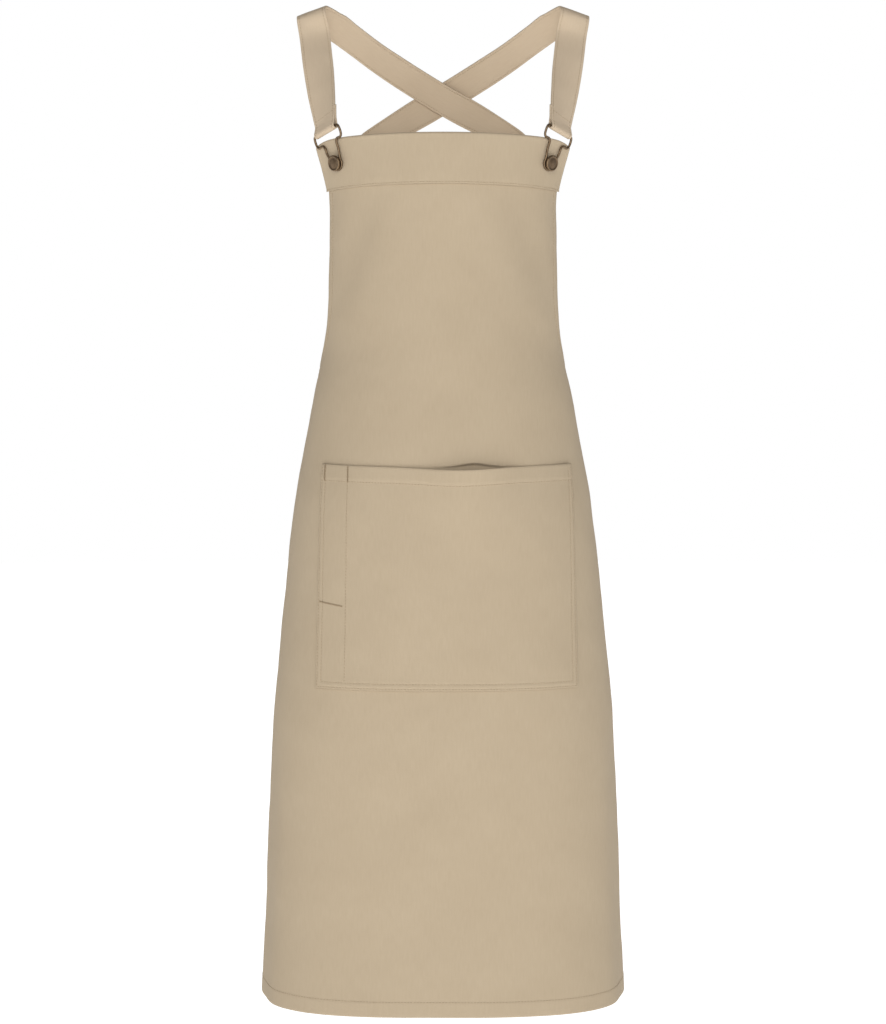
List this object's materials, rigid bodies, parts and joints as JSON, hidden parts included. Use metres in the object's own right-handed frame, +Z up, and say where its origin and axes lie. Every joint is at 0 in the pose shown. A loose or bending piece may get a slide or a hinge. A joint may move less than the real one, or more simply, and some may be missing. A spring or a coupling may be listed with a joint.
{
  "type": "cross back apron",
  "caption": "Cross back apron of cotton twill with a doubled band on the bib, a wide front pocket and crossed straps held by aged brass wire buckles on tack buttons, hanging as worn.",
  "frame": {"origin": "midway between the shoulders, level with the undersides of the straps where they lie over the shoulders", "axes": "+Z up, the apron's front faces -Y, +X is the right-hand side seen from the front"},
  "size_m": [0.3732, 0.2423, 1.003],
  "materials": {
    "body_cloth": "woven cotton twill, matt",
    "strap_cloth": "doubled cotton twill, matt",
    "aged_brass": "aged, satin"
  },
  "bodies": {
    "root": {"apron_panel": "body_cloth", "bib_band": "body_cloth", "pocket": "body_cloth", "strap_left": "strap_cloth", "strap_right": "strap_cloth", "buckle_left": "aged_brass", "buckle_right": "aged_brass", "button_left": "aged_brass", "button_right": "aged_brass"}
  },
  "joints": []
}
